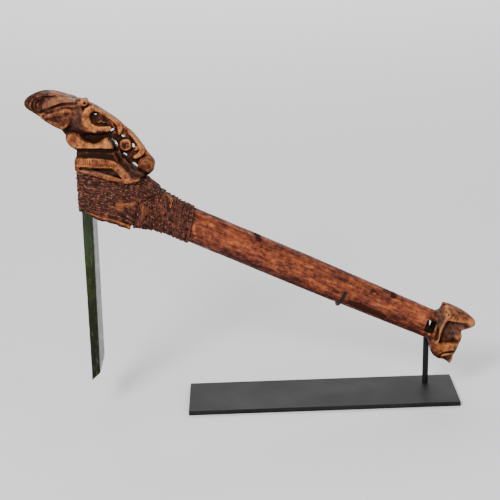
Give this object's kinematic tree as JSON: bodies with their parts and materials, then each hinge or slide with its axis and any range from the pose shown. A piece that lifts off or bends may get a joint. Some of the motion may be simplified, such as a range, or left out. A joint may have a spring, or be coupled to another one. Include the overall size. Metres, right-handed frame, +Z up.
{
  "type": "ceremonial adze on stand",
  "caption": "Maori ceremonial adze: greenstone blade lashed to a carved wooden haft with an openwork figure, on a black metal stand.",
  "frame": {"origin": "centre of the base plate's underside", "axes": "+X along the base plate towards the butt of the haft, blade at -X; -Y is the pictured side; +Z up"},
  "size_m": [0.433, 0.074, 0.3235],
  "materials": {
    "carved wood": "satin",
    "greenstone": "polished",
    "blade_lashing": "matte",
    "neck_binding": "matte",
    "plate steel": "satin",
    "post steel": "satin"
  },
  "bodies": {
    "root": {"haft": "carved wood", "blade": "greenstone", "blade_lashing": "blade_lashing", "neck_binding": "neck_binding", "stand_base": "plate steel", "stand_post": "post steel"}
  },
  "joints": []
}
